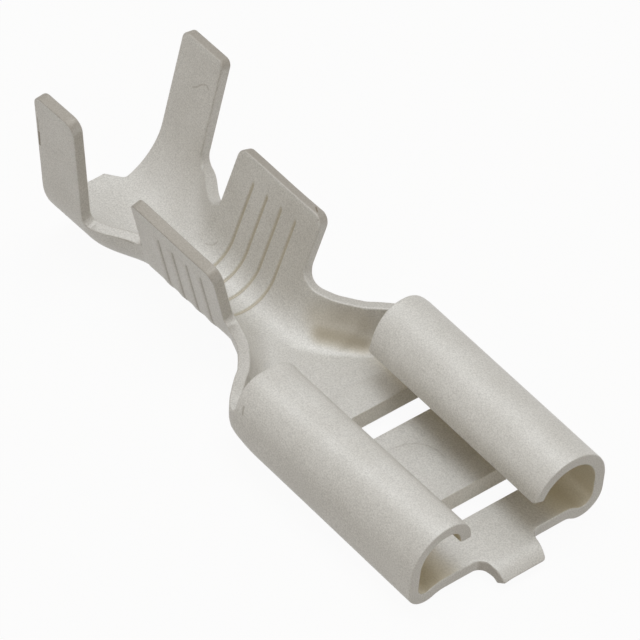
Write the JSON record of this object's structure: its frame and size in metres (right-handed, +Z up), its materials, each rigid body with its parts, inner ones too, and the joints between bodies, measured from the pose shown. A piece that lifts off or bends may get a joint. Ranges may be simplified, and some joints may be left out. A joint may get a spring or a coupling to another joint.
{
  "type": "female spade terminal",
  "caption": "Uninsulated female spade terminal with rolled receptacle, open wire barrel and open insulation barrel, tin-plated brass.",
  "frame": {"origin": "underside of the floor, in the plane of the mouth, on the middle plane", "axes": "+X is the mating direction, out of the mouth; +Z is up, from the floor to the tops of the barrels; +Y is the side with the lower insulation wing"},
  "size_m": [0.0201, 0.0077, 0.0061],
  "materials": {
    "tinned_brass": "satin tin plating"
  },
  "bodies": {
    "root": {"terminal": "tinned_brass"}
  },
  "joints": []
}
